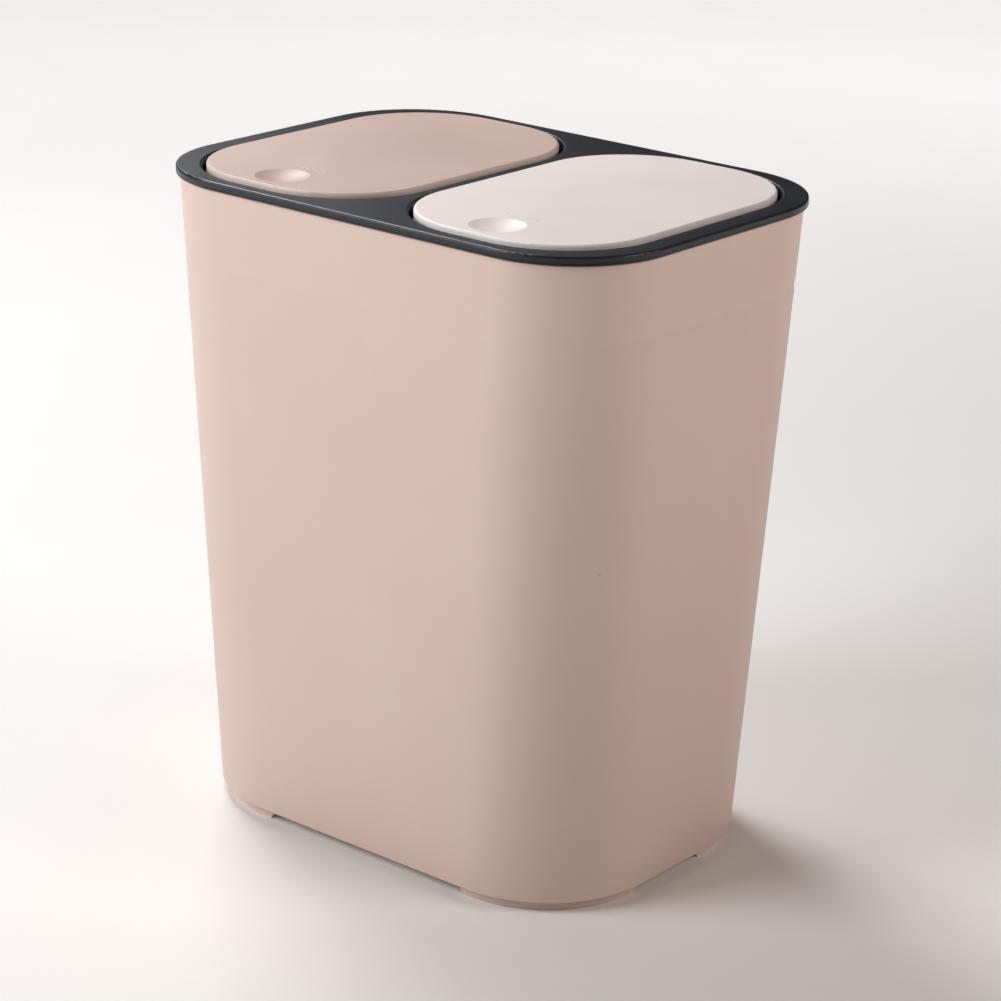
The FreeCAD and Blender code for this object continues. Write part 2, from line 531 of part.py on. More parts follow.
# Lids: shallow shells with a thumb dimple at the front and two knuckles at the back
for side, sign in sides:
    centre = "%s * lid_spacing / 2" % sign
    lid = new_body(side + "_lid")
    label = side.capitalize() + "Lid"
    edge = new_sketch(lid, label + "Outline", across=centre, level=lid_bottom)
    rounded(edge, *lid_outline("0"))
    pad(lid, edge, label + "Block", "lid_edge_height")
    dress(lid, "PartDesign::Fillet", label + "TopEdge", "lid_round", flat_edges(lid.Shape, lid_top))
    inside = new_sketch(lid, label + "InsideOutline", across=centre, level=lid_bottom)
    rounded(inside, *lid_outline("lid_wall"))
    pocket(lid, inside, label + "Inside", "lid_edge_height - lid_skin", upwards=True)
    boss = new_sketch(lid, label + "BossOutline", across=centre, along=latch_along, level=strike_level)
    circle(boss, "dimple_diameter + 2 * dimple_skin")
    pad(lid, boss, label + "Boss", "dimple_depth + dimple_skin - lid_skin / 2")
    place = {"across": centre, "along": latch_along, "level": lid_top}
    dish = new_sketch(lid, label + "DishOutline", "XZ_Plane", **place)
    rim = number("dimple_diameter / 2")
    deep = number("dimple_depth")
    bend = (rim * rim + deep * deep) / (2 * deep)
    dish.addGeometry([
        line((rim, 0), (0, 0)),
        line((0, 0), (0, -deep)),
        arc((0, bend - deep), bend, 270, 270 + math.degrees(math.asin(rim / bend))),
    ])
    joined(dish, "Coincident", 0, 2)
    dish.addConstraint(Sketcher.Constraint("Coincident", 2, 2, 0, 1))
    dish.addConstraint(Sketcher.Constraint("Coincident", 1, 1, -1, 1))
    dish.addConstraint(Sketcher.Constraint("Horizontal", 0))
    dish.addConstraint(Sketcher.Constraint("Vertical", 1))
    dish.addConstraint(Sketcher.Constraint("PointOnObject", 2, 3, -2))
    bound(dish, "DistanceX", -1, 1, 0, 1, "dimple_diameter / 2")
    bound(dish, "DistanceY", 1, 2, -1, 1, "dimple_depth")
    before = lid.Shape.Volume
    dimple = lid.newObject("PartDesign::Groove", label + "Dimple")
    dimple.Profile = dish
    dimple.ReferenceAxis = (dish, ["V_Axis"])
    dimple.Angle = 360
    doc.recompute()
    if not lid.Shape.Volume < before:
        raise RuntimeError("the dimple cuts nothing from %s" % lid.Label)
    dimple_front = number("%s - dimple_diameter / 2 - dimple_round" % latch_along)
    dimple_edges = flat_edges(lid.Shape, lid_top, lambda box: dimple_front < box.YMin and box.YMax < 0)
    dress(lid, "PartDesign::Fillet", label + "DimpleRim", "dimple_round", dimple_edges)
    for end, outwards in ends:
        knuckle_start = "%s + %s * knuckle_offset - knuckle_width / 2" % (centre, outwards)
        start = {"across": knuckle_start, "along": hinge_along, "level": hinge_level}
        neck = new_sketch(lid, label + end + "NeckOutline", "YZ_Plane", **start)
        rectangle(neck, "-1 * knuckle_radius", "knuckle_radius", "0", "hinge_drop - lid_skin / 2")
        pad(lid, neck, label + end + "Neck", "knuckle_width")
        knuckle = new_sketch(lid, label + end + "KnuckleOutline", "YZ_Plane", **start)
        circle(knuckle, "2 * knuckle_radius")
        pad(lid, knuckle, label + end + "Knuckle", "knuckle_width")
        hole = new_sketch(lid, label + end + "HoleOutline", "YZ_Plane", **start)
        circle(hole, "pin_diameter + 2 * pin_running")
        pocket(lid, hole, label + end + "Hole", "knuckle_width", upwards=True)

# Hinge pins: steel pins held by the frame's ears
pin_half = "(%s + ear_width / 2 + pin_overhang)" % ear_offset
for side, sign in sides:
    pin = new_body(side + "_hinge_pin")
    label = side.capitalize() + "Pin"
    pin_start = "%s * lid_spacing / 2 - %s" % (sign, pin_half)
    place = {"across": pin_start, "along": hinge_along, "level": hinge_level}
    section = new_sketch(pin, label + "Section", "YZ_Plane", **place)
    circle(section, "pin_diameter")
    rod = pad(pin, section, label + "Rod", "2 * " + pin_half)
    boxes = [edge.BoundBox for edge in rod.Shape.Edges]
    tips = ["Edge%d" % index for index, box in enumerate(boxes, start=1) if box.XLength < box.YLength]
    dress(pin, "PartDesign::Chamfer", label + "Ends", "pin_chamfer", tips)

# Strikes: T-shaped posts under the dimples
for side, sign in sides:
    centre = "%s * lid_spacing / 2" % sign
    strike = new_body(side + "_strike")
    label = side.capitalize() + "Strike"
    base = new_sketch(strike, label + "BaseOutline", across=centre, along=latch_along, level=strike_level)
    centred(base, "strike_base_width", "strike_base_depth")
    pad(strike, base, label + "Base", "strike_base_height", downwards=True)
    post = new_sketch(
        strike, label + "PostOutline", "XZ_Plane",
        across=centre, along="%s + strike_depth / 2" % latch_along, level=head_level,
    )
    post_top = "(%s - strike_base_height / 2 - %s)" % (strike_level, head_level)
    polygon(post, [
        ("-1 * strike_head_width / 2", "0"),
        ("strike_head_width / 2", "0"),
        ("strike_head_width / 2", "strike_head_height"),
        ("strike_stem_width / 2", "strike_head_height"),
        ("strike_stem_width / 2", post_top),
        ("-1 * strike_stem_width / 2", post_top),
        ("-1 * strike_stem_width / 2", "strike_head_height"),
        ("-1 * strike_head_width / 2", "strike_head_height"),
    ])
    pad(strike, post, label + "Post", "strike_depth")

# Latch housings: open-topped boxes with two screw lugs
for side, sign in sides:
    place = {"across": "%s * lid_spacing / 2" % sign, "along": latch_along}
    housing = new_body(side + "_latch_housing")
    label = side.capitalize() + "Housing"
    block = new_sketch(housing, label + "Outline", level=housing_level, **place)
    centred(block, housing_width, housing_depth)
    pad(housing, block, label + "Block", "%s - %s" % (housing_top, housing_level))
    cavity = new_sketch(housing, label + "CavityOutline", level=housing_top, **place)
    centred(cavity, cavity_width, cavity_depth)
    pocket(housing, cavity, label + "Cavity", "%s - %s" % (housing_top, cavity_level))
    lugs = new_sketch(housing, label + "LugOutlines", level=shelf_level, **place)
    holes = new_sketch(housing, label + "LugHoleOutlines", level=shelf_level, **place)
    lug_near = "(%s - housing_wall) / 2" % housing_width
    lug_far = "(%s / 2 + lug_length)" % housing_width
    for end, outwards in ends:
        polygon(lugs, [
            ("%s * %s" % (outwards, lug_near), "-1 * %s / 2" % housing_depth),
            ("%s * %s" % (outwards, lug_far), "-1 * %s / 2" % housing_depth),
            ("%s * %s" % (outwards, lug_far), "%s / 2" % housing_depth),
            ("%s * %s" % (outwards, lug_near), "%s / 2" % housing_depth),
        ])
        circle(holes, "screw_diameter + 2 * screw_clearance", "%s * %s" % (outwards, screw_offset))
    pad(housing, lugs, label + "Lugs", "lug_thickness")
    pocket(housing, holes, label + "LugHoles", "lug_thickness", upwards=True)
    peg = new_sketch(housing, label + "PegOutline", level=cavity_level, **place)
    circle(peg, "peg_diameter")
    pad(housing, peg, label + "Peg", "peg_length")

# Latch plungers: sliding blocks with a pair of hooked jaws
for side, sign in sides:
    centre = "%s * lid_spacing / 2" % sign
    plunger = new_body(side + "_latch_plunger")
    label = side.capitalize() + "Plunger"
    jaws = new_sketch(
        plunger, label + "JawOutline", "XZ_Plane",
        across=centre, along="%s + plunger_depth / 2" % latch_along, level=plunger_level,
    )
    outer = "%s / 2" % plunger_width
    inner = "(%s / 2 - jaw_thickness)" % plunger_width
    hook = "(%s / 2 - jaw_thickness - jaw_hook)" % plunger_width
    tip = "(plunger_block + jaw_height)"
    half_outline = [
        (outer, "0"),
        (outer, tip),
        (inner, tip),
        (hook, "%s - jaw_hook_height / 2" % tip),
        (inner, "%s - jaw_hook_height" % tip),
        (inner, "plunger_block"),
    ]
    polygon(jaws, half_outline + [("-1 * " + across, height) for across, height in reversed(half_outline)])
    pad(plunger, jaws, label + "Jaws", "plunger_depth")
    peg = new_sketch(plunger, label + "PegOutline", across=centre, along=latch_along, level=plunger_level)
    circle(peg, "peg_diameter")
    pad(plunger, peg, label + "Peg", "peg_length", downwards=True)

# Latch screws: two to a housing, round heads with a cross recess
def primitive(kind, name, sizes, across, along, level):
    feature = doc.addObject(kind, name)
    for axis, words in zip("xyz", (across, along, level)):
        feature.setExpression("Placement.Base." + axis, sized(words))
    for key, words in sizes.items():
        feature.setExpression(key, sized(words))
    return feature


for side, sign in sides:
    screws = []
    head_seat = "(%s + lug_thickness)" % shelf_level
    for end, outwards in ends:
        across = "%s * lid_spacing / 2 + %s * %s" % (sign, outwards, screw_offset)
        label = side.capitalize() + end + "Screw"
        straight = "(screw_length - screw_tip)"
        shank_level = "%s - %s" % (head_seat, straight)
        tip_level = "%s - screw_length" % head_seat
        sizes = {"Radius": "screw_head_diameter / 2", "Height": "screw_head_height"}
        head = primitive("Part::Cylinder", label + "Head", sizes, across, latch_along, head_seat)
        sizes = {"Radius": "screw_diameter / 2", "Height": straight}
        shank = primitive("Part::Cylinder", label + "Shank", sizes, across, latch_along, shank_level)
        sizes = {"Radius1": "screw_point / 2", "Radius2": "screw_diameter / 2", "Height": "screw_tip"}
        point = primitive("Part::Cone", label + "Point", sizes, across, latch_along, tip_level)
        whole = doc.addObject("Part::MultiFuse", label + "Whole")
        whole.Shapes = [head, shank, point]
        recess_level = "%s + screw_head_height - recess_depth" % head_seat
        arms = []
        for name, length, width in (
            ("ArmAcross", "recess_length", "recess_width"),
            ("ArmAlong", "recess_width", "recess_length"),
        ):
            sizes = {"Length": length, "Width": width, "Height": "recess_depth"}
            start = "%s - %s / 2" % (across, length)
            front = "%s - %s / 2" % (latch_along, width)
            arms.append(primitive("Part::Box", label + name, sizes, start, front, recess_level))
        cross = doc.addObject("Part::MultiFuse", label + "Cross")
        cross.Shapes = arms
        screw = doc.addObject("Part::Cut", label)
        screw.Base = whole
        screw.Tool = cross
        screws.append(screw)
    pair = doc.addObject("Part::Compound", side + "_latch_screws")
    pair.Label = side + "_latch_screws"
    pair.Links = screws
doc.recompute()

# Inner buckets: lift-out buckets with a rim flange and two bail ears
skirt_width, skirt_depth, skirt_corner = bucket_outline(ledge_level, skirt_inset)
inner_width = "(((%s) - 2 * inner_clearance - inner_split) / 2)" % skirt_width
inner_depth = "((%s) - 2 * inner_clearance)" % skirt_depth
inner_corner = "((%s) - inner_clearance)" % skirt_corner
floor_inset = "wall_lower + inner_base_clearance"
floor_width, floor_depth, floor_corner = bucket_outline(inner_base_level, floor_inset)
inner_base_width = "(((%s) - inner_split) / 2)" % floor_width
inner_base_depth = "(%s)" % floor_depth
inner_base_corner = "(%s)" % floor_corner


def inner_rim(inset):
    return (
        "%s - 2 * (%s)" % (inner_width, inset),
        "%s - 2 * (%s)" % (inner_depth, inset),
        "%s - (%s)" % (inner_corner, inset),
    )


def inner_base(inset):
    return (
        "%s - 2 * (%s)" % (inner_base_width, inset),
        "%s - 2 * (%s)" % (inner_base_depth, inset),
        "%s - (%s)" % (inner_base_corner, inset),
    )


bail_hook = "(%s / 2 - bail_ear_inset)" % inner_width
for side, sign in sides:
    top_centre = "%s * (inner_split + %s) / 2" % (sign, inner_width)
    low_centre = "%s * (inner_split + %s) / 2" % (sign, inner_base_width)
    inner = new_body(side + "_inner_bucket")
    label = side.capitalize() + "Inner"
    low = new_sketch(inner, label + "Low", across=low_centre, level=inner_base_level)
    rounded(low, *inner_base("0"))
    high = new_sketch(inner, label + "High", across=top_centre, level=inner_rim_level)
    rounded(high, *inner_rim("inner_flange - inner_wall"))
    loft(inner, "PartDesign::AdditiveLoft", label + "Outside", low, high)
    floor_top = "%s + inner_floor" % inner_base_level
    low = new_sketch(inner, label + "CavityLow", across=low_centre, level=floor_top)
    rounded(low, *inner_base("inner_wall"))
    high = new_sketch(inner, label + "CavityHigh", across=top_centre, level=inner_rim_level)
    rounded(high, *inner_rim("inner_flange"))
    loft(inner, "PartDesign::SubtractiveLoft", label + "Cavity", low, high)
    lower_edges = flat_edges(inner.Shape, inner_base_level)
    dress(inner, "PartDesign::Fillet", label + "LowerEdge", "inner_base_round", lower_edges)
    for name, inset, drop in (
        ("Flange", "inner_flange - inner_wall / 2", "inner_flange_thickness"),
        ("Lip", "inner_lip", "inner_lip_drop"),
    ):
        ring = new_sketch(inner, label + name + "Ring", across=top_centre, level=inner_rim_level)
        rounded(ring, *inner_rim("0"))
        rounded(ring, *inner_rim(inset))
        pad(inner, ring, label + name, drop, downwards=True)
    for end, near in (("Right", "%s - bail_ear_thickness" % bail_hook), ("Left", "-1 * " + bail_hook)):
        start = {"across": "%s + %s" % (top_centre, near), "level": bail_level}
        foot = new_sketch(inner, label + end + "EarFoot", "YZ_Plane", **start)
        foot_drop = "-1 * (bail_lift + bail_wire / 2 + inner_flange_thickness / 2)"
        rectangle(foot, "-1 * bail_ear_radius", "bail_ear_radius", foot_drop, "0")
        pad(inner, foot, label + end + "EarBase", "bail_ear_thickness")
        eye = new_sketch(inner, label + end + "EarEye", "YZ_Plane", **start)
        circle(eye, "2 * bail_ear_radius")
        pad(inner, eye, label + end + "Ear", "bail_ear_thickness")
        hole = new_sketch(inner, label + end + "EarHoleOutline", "YZ_Plane", **start)
        circle(hole, "bail_wire + 2 * bail_running")
        pocket(inner, hole, label + end + "EarHole", "bail_ear_thickness", upwards=True)

# Bails: bent wire handles, folded back on the rims
bail_arm = "(%s - bail_ear_thickness - bail_ear_play - bail_bend)" % bail_hook
bail_back = "(%s / 2 - inner_flange / 2)" % inner_depth
for side, sign in sides:
    centre = "%s * (inner_split + %s) / 2" % (sign, inner_width)
    bail = new_body(side + "_bail")
    label = side.capitalize() + "Bail"
    route = new_sketch(bail, label + "Route", across=centre, level=bail_level)
    hook = number(bail_hook)
    arm = number(bail_arm)
    back = number(bail_back)
    bend = number("bail_bend")
    corner = number("bail_corner")
    route.addGeometry([
        line((hook, 0), (arm + bend, 0)),
        arc((arm + bend, bend), bend, 180, 270),
        line((arm, bend), (arm, back - corner)),
        arc((arm - corner, back - corner), corner, 0, 90),
        line((arm - corner, back), (corner - arm, back)),
        arc((corner - arm, back - corner), corner, 90, 180),
        line((-arm, back - corner), (-arm, bend)),
        arc((-arm - bend, bend), bend, 270, 360),
        line((-arm - bend, 0), (-hook, 0)),
    ])
    for first, (first_end, next_start) in enumerate(
        ((2, 2), (1, 1), (2, 1), (2, 1), (2, 1), (2, 1), (2, 2), (1, 1))
    ):
        route.addConstraint(Sketcher.Constraint("Tangent", first, first_end, first + 1, next_start))
    for run in (0, 4, 8):
        route.addConstraint(Sketcher.Constraint("Horizontal", run))
    for run in (2, 6):
        route.addConstraint(Sketcher.Constraint("Vertical", run))
    route.addConstraint(Sketcher.Constraint("Equal", 1, 7))
    route.addConstraint(Sketcher.Constraint("Equal", 3, 5))
    bound(route, "Radius", 1, "bail_bend")
    bound(route, "Radius", 3, "bail_corner")
    placed(route, 0, 1, bail_hook, "0")
    placed(route, 8, 2, "-1 * " + bail_hook, "0")
    bound(route, "DistanceX", -1, 1, 2, 1, bail_arm)
    bound(route, "DistanceX", 6, 1, -1, 1, bail_arm)
    bound(route, "DistanceY", -1, 1, 4, 1, bail_back)
    tip = "%s + %s" % (centre, bail_hook)
    section = new_sketch(bail, label + "Section", "YZ_Plane", across=tip, level=bail_level)
    circle(section, "bail_wire")
    doc.recompute()
    wire = bail.newObject("PartDesign::AdditivePipe", label + "Wire")
    wire.Profile = section
    wire.Spine = (route, [])
    doc.recompute()


# Springs: one unbroken tube each, wound on a helix of quarter-turn biarcs
def biarc(start, start_way, end, end_way):
    chord = end - start
    ways = start_way + end_way
    square = 2 * (1 - start_way.dot(end_way))
    linear = 2 * chord.dot(ways)
    reach = (math.sqrt(linear * linear + 4 * square * chord.dot(chord)) - linear) / (2 * square)
    first_corner = start + start_way * reach
    last_corner = end - end_way * reach
    middle = (first_corner + last_corner) * 0.5
    edges = []
    for low, corner, high in ((start, first_corner, middle), (middle, last_corner, end)):
        foot = (low + high) * 0.5
        rise = corner - foot
        half_turn = math.atan2(rise.Length, (high - low).Length / 2)
        crown = foot + rise.normalize() * ((high - low).Length / 2 * math.tan(half_turn / 2))
        edges.append(Part.Arc(low, crown, high).toShape())
    return edges


def wound(name, origin, axes, coil, pitch, quarters, wire, legs):
    first_axis, second_axis, along_axis = axes
    places = []
    ways = []
    for quarter in range(quarters + 1):
        turn = quarter * math.pi / 2
        outward = first_axis * math.cos(turn) + second_axis * math.sin(turn)
        onward = second_axis * math.cos(turn) - first_axis * math.sin(turn)
        places.append(origin + outward * (coil / 2) + along_axis * (pitch * quarter / 4))
        ways.append((onward * (coil / 2) + along_axis * (pitch / (2 * math.pi))).normalize())
    edges = []
    if legs:
        edges.append(Part.LineSegment(places[0] - ways[0] * legs, places[0]).toShape())
    for quarter in range(quarters):
        edges.extend(biarc(places[quarter], ways[quarter], places[quarter + 1], ways[quarter + 1]))
    if legs:
        edges.append(Part.LineSegment(places[-1], places[-1] + ways[-1] * legs).toShape())
    path = Part.Wire(edges)
    start = places[0] - ways[0] * legs
    section = Part.Wire([Part.Circle(start, ways[0], wire / 2).toShape()])
    tube = path.makePipeShell([section], True, False)
    points = [point for edge in edges for point in edge.discretize(5)[:-1]]
    apart = math.ceil(len(points) / quarters * 2)
    gap = min((a - b).Length for i, a in enumerate(points) for b in points[i + apart:]) - wire
    share = tube.Volume / (math.pi * wire * wire / 4 * path.Length)
    print("%s: least gap to itself %.2f mm, volume share %.4f" % (name, gap, share))
    spring = doc.addObject("Part::Feature", name)
    spring.Label = name
    spring.Shape = tube
    return spring


right_way = FreeCAD.Vector(1, 0, 0)
back_way = FreeCAD.Vector(0, 1, 0)
up_way = FreeCAD.Vector(0, 0, 1)
for side, sign in sides:
    middle = number("%s * lid_spacing / 2" % sign)
    start = FreeCAD.Vector(middle - number(lid_spring_half), number(hinge_along), number(hinge_level))
    wound(
        side + "_lid_spring", start, (up_way, back_way, right_way),
        number("lid_spring_coil"), number("lid_spring_pitch"), lid_spring_quarters,
        number("lid_spring_wire"), number("lid_spring_leg"),
    )
    seat = number("%s + spring_seat_gap + latch_spring_wire / 2" % cavity_level)
    rise = number("latch_spring_room - 2 * spring_seat_gap - latch_spring_wire")
    start = FreeCAD.Vector(middle, number(latch_along), seat)
    wound(
        side + "_latch_spring", start, (right_way, back_way, up_way),
        number("latch_spring_coil"), rise / latch_spring_turns, 4 * latch_spring_turns,
        number("latch_spring_wire"), 0,
    )

# Checks, then one file for each node
doc.recompute()
for feature in doc.Objects:
    if "Invalid" in feature.State or "Error" in feature.State:
        raise RuntimeError("%s did not build: %s" % (feature.Name, feature.State))
nodes = ["outer_bucket", "lid_frame"]
for side, sign in sides:
    for piece in (
        "lid", "hinge_pin", "lid_spring", "strike", "latch_housing", "latch_plunger",
        "latch_spring", "latch_screws", "inner_bucket", "bail",
    ):
        nodes.append("%s_%s" % (side, piece))
shapes = {}
for node in nodes:
    shape = doc.getObjectsByLabel(node)[0].Shape
    if shape.isNull() or not shape.isValid() or not shape.Solids:
        raise RuntimeError("%s has no valid solid" % node)
    shapes[node] = shape
for node, shape in shapes.items():
    shape.exportStep("parts/%s.step" % node)
    print("%s: %d solid, %.0f cubic mm" % (node, len(shape.Solids), shape.Volume))
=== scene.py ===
import math

import bmesh
import bpy
from mathutils import Matrix, Vector


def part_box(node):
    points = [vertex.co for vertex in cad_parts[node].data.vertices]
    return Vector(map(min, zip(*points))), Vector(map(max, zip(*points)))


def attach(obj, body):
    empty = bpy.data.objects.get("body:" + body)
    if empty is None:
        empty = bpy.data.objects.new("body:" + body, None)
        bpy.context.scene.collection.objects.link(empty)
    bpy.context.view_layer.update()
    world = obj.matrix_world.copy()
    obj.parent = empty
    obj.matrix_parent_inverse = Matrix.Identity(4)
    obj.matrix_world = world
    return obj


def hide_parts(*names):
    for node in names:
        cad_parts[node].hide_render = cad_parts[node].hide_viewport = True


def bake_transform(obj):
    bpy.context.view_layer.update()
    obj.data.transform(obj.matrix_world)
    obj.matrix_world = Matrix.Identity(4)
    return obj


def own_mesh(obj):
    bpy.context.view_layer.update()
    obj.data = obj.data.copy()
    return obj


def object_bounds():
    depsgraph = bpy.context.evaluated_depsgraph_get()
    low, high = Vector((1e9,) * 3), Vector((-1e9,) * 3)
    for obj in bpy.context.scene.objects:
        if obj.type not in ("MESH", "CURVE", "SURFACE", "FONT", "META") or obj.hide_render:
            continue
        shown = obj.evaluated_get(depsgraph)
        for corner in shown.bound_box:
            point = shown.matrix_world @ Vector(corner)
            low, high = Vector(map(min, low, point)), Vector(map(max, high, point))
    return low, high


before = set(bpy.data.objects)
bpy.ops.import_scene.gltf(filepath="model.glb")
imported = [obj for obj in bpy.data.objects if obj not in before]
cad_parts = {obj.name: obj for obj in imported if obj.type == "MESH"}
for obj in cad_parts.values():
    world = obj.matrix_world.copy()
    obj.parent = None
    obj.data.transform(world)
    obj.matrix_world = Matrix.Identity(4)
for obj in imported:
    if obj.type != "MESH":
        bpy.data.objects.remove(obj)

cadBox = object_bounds()
mm = 0.001
sides = ("left", "right")
scene = bpy.context.scene


def linear(hexColour):
    parts = [int(hexColour[start:start + 2], 16) / 255 for start in (1, 3, 5)]
    curve = [part / 12.92 if part <= 0.04045 else ((part + 0.055) / 1.055) ** 2.4 for part in parts]
    return (*curve, 1.0)


def addNode(tree, kind, inputs=(), **settings):  # inputs by name, or as a list in their own order
    node = tree.nodes.new(kind)
    for name, value in settings.items():
        setattr(node, name, value)
    for key, value in inputs.items() if isinstance(inputs, dict) else enumerate(inputs):
        if isinstance(value, bpy.types.NodeSocket):
            tree.links.new(value, node.inputs[key])
        else:
            node.inputs[key].default_value = value
    return node


def newMaterial(name):
    material = bpy.data.materials.new(name)
    material.use_nodes = True
    material.node_tree.nodes.clear()
    return material


def boxMiddle(node):
    low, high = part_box(node)
    return (low + high) / 2


# Materials
tickRow = {  # shallow bars pressed in behind each dimple
    "along": -58 * mm, "count": 8, "pitch": 2.7 * mm, "width": 1.3 * mm, "length": 3.4 * mm,
    "depth": 0.15 * mm, "paintedTickHighlightShare": 0.85,
}
onset = {  # where each tint begins and ends, on the measure that drives it
    "streak": (0.55, 0.75),  # noise along the flow
    "speck": (0.008, 0.014),  # distance to a pit, in pit spacings
    "rubAndHighlight": (0.52, 0.62),  # pointiness: convex edges turn paler, rubbed wear and a painted edge highlight
    "edge": (0.4, 0.88),  # how level the surface lies; steep faces get a painted edge highlight
    "tick": (0.0, 1.0),  # inside a bar or not; the bars get a painted highlight
    "gloss": (0.3, 0.7),  # noise of the clouds or draw lines
}
lidCentre = {side: boxMiddle(side + "_lid").x for side in sides}
tickStart = {side: lidCentre[side] - tickRow["pitch"] * (tickRow["count"] - 1) / 2 for side in sides}


def tickShare(tree, place, side):
    axes = addNode(tree, "ShaderNodeSeparateXYZ", [place]).outputs
    across = addNode(tree, "ShaderNodeMath", [axes["X"], tickStart[side]], operation="SUBTRACT").outputs[0]
    beside = addNode(tree, "ShaderNodeMath", [across, tickRow["pitch"] / 2], operation="PINGPONG").outputs[0]
    share = 1.0
    for value, middle, reach in (
        (beside, 0.0, tickRow["width"]),
        (axes["X"], lidCentre[side], tickRow["pitch"] * tickRow["count"]),
        (axes["Y"], tickRow["along"], tickRow["length"]),
    ):
        near = addNode(tree, "ShaderNodeMath", [value, middle, reach / 2], operation="COMPARE").outputs[0]
        share = addNode(tree, "ShaderNodeMath", [near, share], operation="MULTIPLY").outputs[0]
    return share


def mouldedPlastic(look, tickSide=None):
    material = newMaterial(look["name"])
    tree = material.node_tree
    own = addNode(tree, "ShaderNodeTexCoord").outputs
    place = own["Object"]
    cloud = addNode(tree, "ShaderNodeTexNoise", {
        "Vector": place, "Scale": 1 / look["cloud"], "Detail": 2.0}).outputs["Fac"]
    flow = addNode(tree, "ShaderNodeMapping", {
        "Vector": place, "Scale": [1 / size for size in look["flow"]]}).outputs[0]
    streak = addNode(tree, "ShaderNodeTexNoise", {"Vector": flow, "Scale": 1.0, "Detail": 3.0}).outputs["Fac"]
    grain = addNode(tree, "ShaderNodeTexNoise", {
        "Vector": place, "Scale": 1 / look["grain"], "Detail": 2.0}).outputs["Fac"]
    pit = addNode(tree, "ShaderNodeTexVoronoi", {
        "Vector": place, "Scale": 1 / look["pitSpacing"]}).outputs["Distance"]
    bulge = addNode(tree, "ShaderNodeNewGeometry").outputs["Pointiness"]
    tilt = addNode(tree, "ShaderNodeSeparateXYZ", [own["Normal"]]).outputs["Z"]
    level = addNode(tree, "ShaderNodeMath", [tilt], operation="ABSOLUTE").outputs[0]
    tints = [  # name of the onset, measure, share at its start and end, colour
        ("streak", streak, 0.0, look["streakShare"], look["paleMarkAndHighlight"]),
        ("speck", pit, look["speckShare"], 0.0, look["speck"]),
        ("rubAndHighlight", bulge, 0.0, look["wearAndHighlightShare"], look["paleMarkAndHighlight"]),
        # painted highlight: steep faces turn paler, whatever the light
        ("edge", level, look["paintedEdgeHighlightShare"], 0.0, look["paleMarkAndHighlight"]),
    ]
    if tickSide:
        # painted highlight: the pressed bars are painted paler
        tints.append(("tick", tickShare(tree, place, tickSide), 0.0, tickRow["paintedTickHighlightShare"], look["paleMarkAndHighlight"]))
    colour = addNode(tree, "ShaderNodeMix", {
        0: cloud, 6: linear(look["deep"]), 7: linear(look["pale"])}, data_type="RGBA").outputs[2]
    for name, measure, first, last, tint in tints:
        share = addNode(tree, "ShaderNodeMapRange", [
            measure, *onset[name], first, last], interpolation_type="SMOOTHSTEP").outputs[0]
        colour = addNode(tree, "ShaderNodeMix", {
            0: share, 6: colour, 7: linear(tint)}, data_type="RGBA").outputs[2]
    rough = addNode(tree, "ShaderNodeMapRange", [
        cloud, *onset["gloss"], *look["roughness"]], interpolation_type="SMOOTHSTEP").outputs[0]
    bump = addNode(tree, "ShaderNodeBump", {
        "Height": grain, "Distance": look["grainHeight"], "Strength": look["grainShare"]}).outputs["Normal"]
    shader = addNode(tree, "ShaderNodeBsdfPrincipled", {
        "Base Color": colour, "Roughness": rough, "Normal": bump, "Specular IOR Level": look["specular"]})
    addNode(tree, "ShaderNodeOutputMaterial", {"Surface": shader.outputs[0]})
    return material


def drawnSteel(look):
    material = newMaterial(look["name"])
    tree = material.node_tree
    place = addNode(tree, "ShaderNodeTexCoord").outputs["Object"]
    cloud = addNode(tree, "ShaderNodeTexNoise", {
        "Vector": place, "Scale": 1 / look["cloud"], "Detail": 2.0}).outputs["Fac"]
    flow = addNode(tree, "ShaderNodeMapping", {
        "Vector": place, "Scale": [1 / size for size in look["flow"]]}).outputs[0]
    streak = addNode(tree, "ShaderNodeTexNoise", {"Vector": flow, "Scale": 1.0, "Detail": 4.0}).outputs["Fac"]
    colour = addNode(tree, "ShaderNodeMix", {
        0: cloud, 6: linear(look["deep"]), 7: linear(look["pale"])}, data_type="RGBA").outputs[2]
    rough = addNode(tree, "ShaderNodeMapRange", [
        streak, *onset["gloss"], *look["roughness"]], interpolation_type="SMOOTHSTEP").outputs[0]
    bump = addNode(tree, "ShaderNodeBump", {
        "Height": streak, "Distance": look["grainHeight"], "Strength": look["grainShare"]}).outputs["Normal"]
    shader = addNode(tree, "ShaderNodeBsdfPrincipled", {
        "Base Color": colour, "Metallic": 1.0, "Roughness": rough, "Normal": bump})
    addNode(tree, "ShaderNodeOutputMaterial", {"Surface": shader.outputs[0]})
    return material


